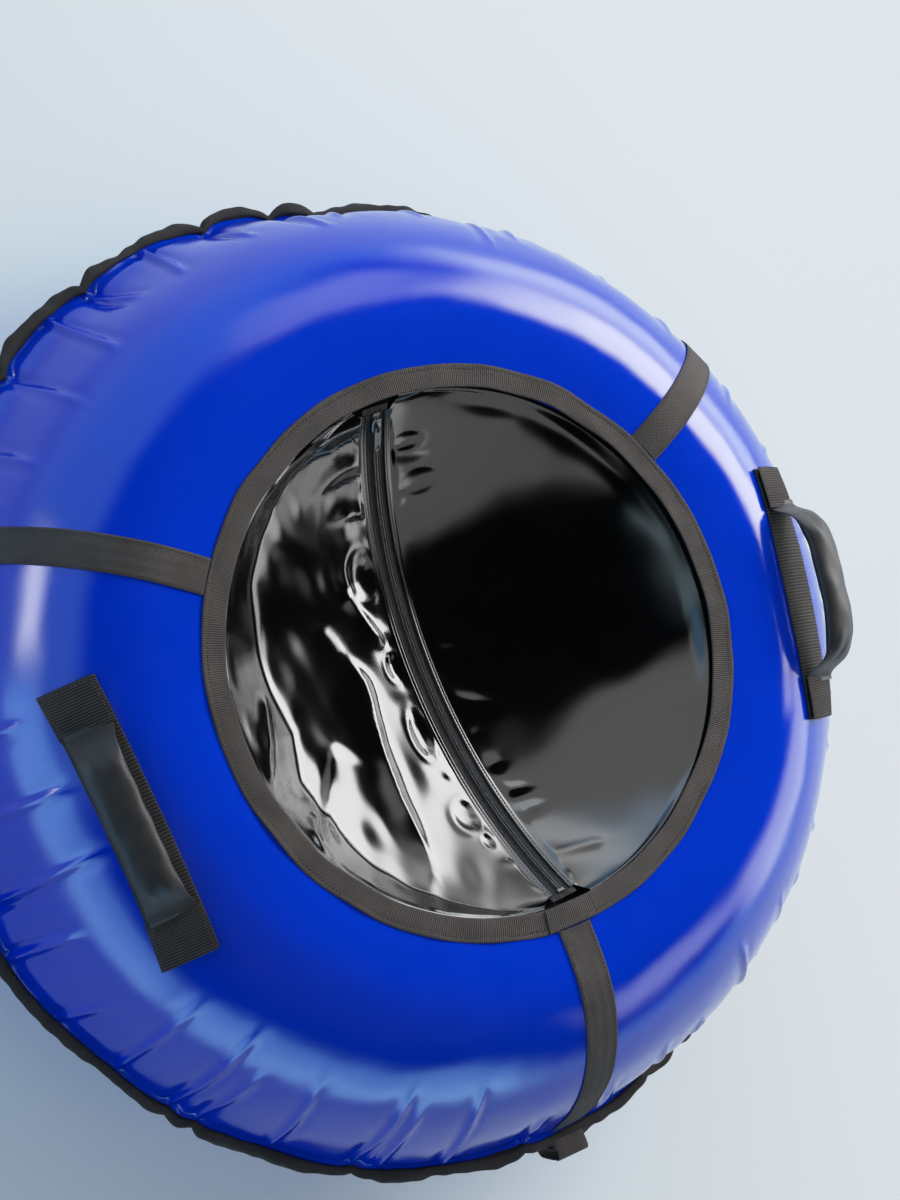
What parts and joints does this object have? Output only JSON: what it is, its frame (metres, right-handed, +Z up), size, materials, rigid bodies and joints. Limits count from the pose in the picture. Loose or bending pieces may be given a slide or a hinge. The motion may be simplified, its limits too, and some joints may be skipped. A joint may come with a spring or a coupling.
{
  "type": "snow tube",
  "caption": "Inflatable round snow tube: zipped coated-fabric cover over an inflated ring, sagging seat, webbing straps, padded swinging handles and a tow loop.",
  "frame": {"origin": "centre of the flat base, on the surface the tube lies on", "axes": "+Z up along the tube's axis, -Y towards the tow loop, +X towards the right handle"},
  "size_m": [1.1, 1.1138, 0.4104],
  "materials": {
    "cover_top": "gloss PVC coating over a fine scrim weave",
    "cover_base": "gloss PVC coating, heavier and slightly scuffed",
    "rim_binding": "matt knitted bias binding",
    "grey_webbing": "ribbed polypropylene webbing",
    "grip_webbing": "ribbed polypropylene webbing",
    "patch_webbing": "coarse ribbed webbing, stitched",
    "seat_gloss": "patent-gloss PVC coating over a fine weave",
    "zip_tape": "woven tape",
    "zip_coil": "nylon coil",
    "gunmetal": "dark plated die casting",
    "sleeve_fabric": "soft coated cloth with a low sheen",
    "foam": "closed-cell foam",
    "tube_rubber": "butyl rubber",
    "valve_brass": "machined",
    "valve_plastic": "moulded"
  },
  "bodies": {
    "root": {"bottom_cover": "cover_base", "handle_left_base": "grey_webbing", "handle_left_end_front": "grip_webbing", "handle_left_end_rear": "grip_webbing", "handle_left_patch_front": "patch_webbing", "handle_left_patch_rear": "patch_webbing", "handle_right_base": "grey_webbing", "handle_right_end_front": "grip_webbing", "handle_right_end_rear": "grip_webbing", "handle_right_patch_front": "patch_webbing", "handle_right_patch_rear": "patch_webbing", "inner_tube": "tube_rubber", "rim_binding": "rim_binding", "seat_panel_left": "seat_gloss", "seat_panel_right": "seat_gloss", "seat_ring_binding": "grey_webbing", "seat_ring_lap": "grey_webbing", "strap_front": "grey_webbing", "strap_left": "grey_webbing", "strap_right": "grey_webbing", "top_cover": "cover_top", "valve_core": "valve_brass", "valve_patch": "tube_rubber", "valve_stem": "tube_rubber", "zip_coil_left": "zip_coil", "zip_coil_right": "zip_coil", "zip_stop_front": "gunmetal", "zip_stop_rear": "gunmetal", "zip_tape_left": "zip_tape", "zip_tape_right": "zip_tape"},
    "handle_left_grip": {"handle_left_webbing": "grip_webbing", "handle_left_foam": "foam", "handle_left_sleeve": "sleeve_fabric"},
    "handle_right_grip": {"handle_right_webbing": "grip_webbing", "handle_right_foam": "foam", "handle_right_sleeve": "sleeve_fabric"},
    "zip_slider": {"zip_slider": "gunmetal"},
    "zip_pull": {"zip_pull": "gunmetal"},
    "valve_cap": {"valve_cap": "valve_plastic"},
    "tow_loop": {"tow_loop": "grey_webbing"}
  },
  "joints": [
    {"name": "handle_left_swing", "type": "hinge", "parent": "root", "child": "handle_left_grip", "pos_m": [-0.40281, -0.0518, 0.35569], "axis": [-0.1218, 0.9926, 0.0033], "range_deg": [-45, 45]},
    {"name": "handle_right_swing", "type": "hinge", "parent": "root", "child": "handle_right_grip", "pos_m": [0.40281, -0.0518, 0.35569], "axis": [0.1218, 0.9926, 0.0033], "range_deg": [-45, 45]},
    {"name": "zip_travel", "type": "hinge", "parent": "root", "child": "zip_slider", "pos_m": [0.02372, 0.00205, 0.64685], "axis": [-0.9909, -0.058, 0.1219], "range_deg": [0, 80.52]},
    {"name": "zip_pull_swing", "type": "hinge", "parent": "zip_slider", "child": "zip_pull", "pos_m": [-0.02697, 0.25038, 0.35282], "axis": [-0.9909, -0.058, 0.1219], "range_deg": [0, 120]},
    {"name": "valve_cap_off", "type": "slide", "parent": "root", "child": "valve_cap", "axis": [0.0872, -0.9962, 0], "range_m": [0, 0.03]},
    {"name": "tow_loop_swing", "type": "hinge", "parent": "root", "child": "tow_loop", "pos_m": [0, -0.5573, 0.186], "axis": [1, 0, 0], "range_deg": [-150, 20]}
  ]
}
